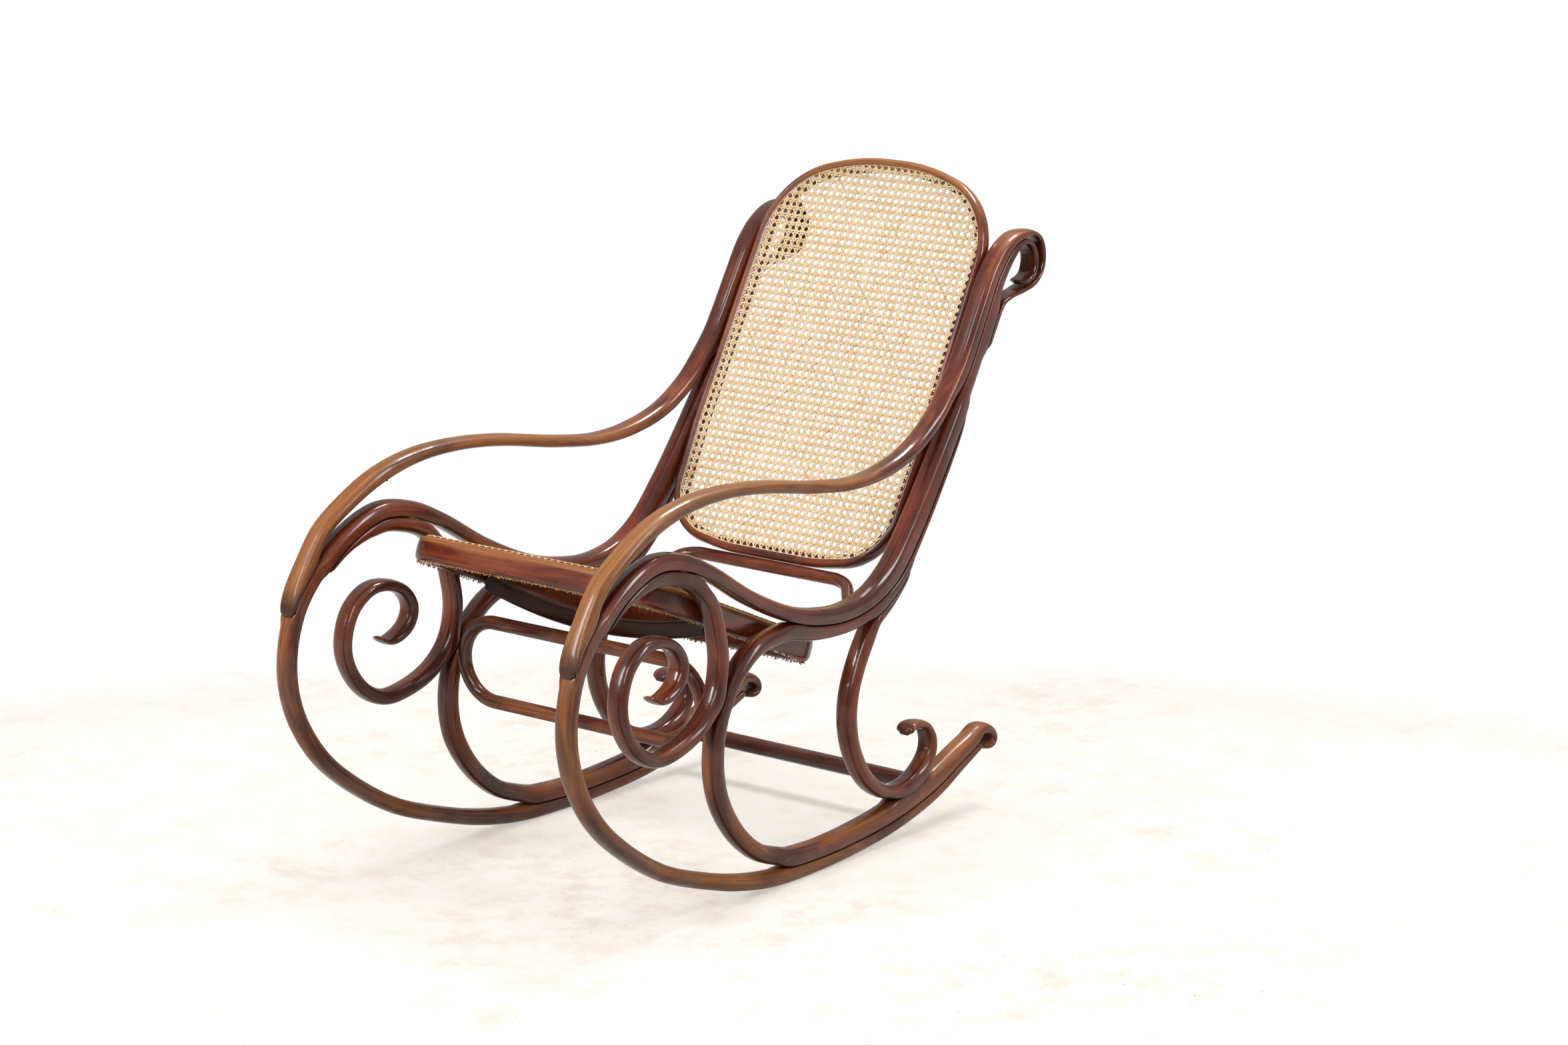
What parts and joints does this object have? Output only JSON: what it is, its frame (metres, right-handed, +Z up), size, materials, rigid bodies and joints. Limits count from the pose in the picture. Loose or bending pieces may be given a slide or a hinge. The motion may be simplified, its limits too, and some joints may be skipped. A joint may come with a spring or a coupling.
{
  "type": "bentwood rocking chair",
  "caption": "Bentwood rocking chair with scrolled side frames, cane seat and cane back; it stands and rocks on its curved runners.",
  "frame": {"origin": "on the floor, under the middle of the chair's bounding box", "axes": "+Z up, -Y towards the front, where the sitter faces, +X to the sitter's left"},
  "size_m": [0.5552, 1.12, 0.9505],
  "materials": {
    "dark_wood": "reddish brown varnish, satin, streaky grain and scuffs",
    "worn_wood": "reddish brown varnish worn to golden brown on top",
    "black_wood": "old dark stain, dull",
    "cane": "woven cane, light golden beige, satin"
  },
  "bodies": {
    "root": {"runner_and_post_left": "dark_wood", "scroll_rod_left": "dark_wood", "lower_loop_left": "dark_wood", "back_leg_left": "dark_wood", "arm_left": "worn_wood", "runner_and_post_right": "dark_wood", "scroll_rod_right": "dark_wood", "lower_loop_right": "dark_wood", "back_leg_right": "dark_wood", "arm_right": "worn_wood", "front_stretcher": "dark_wood", "rear_bow": "dark_wood", "seat_ring": "dark_wood", "back_ring": "dark_wood", "seat_cane": "cane", "back_cane": "cane", "under_seat_slat": "black_wood", "rear_dowel": "dark_wood"}
  },
  "joints": []
}
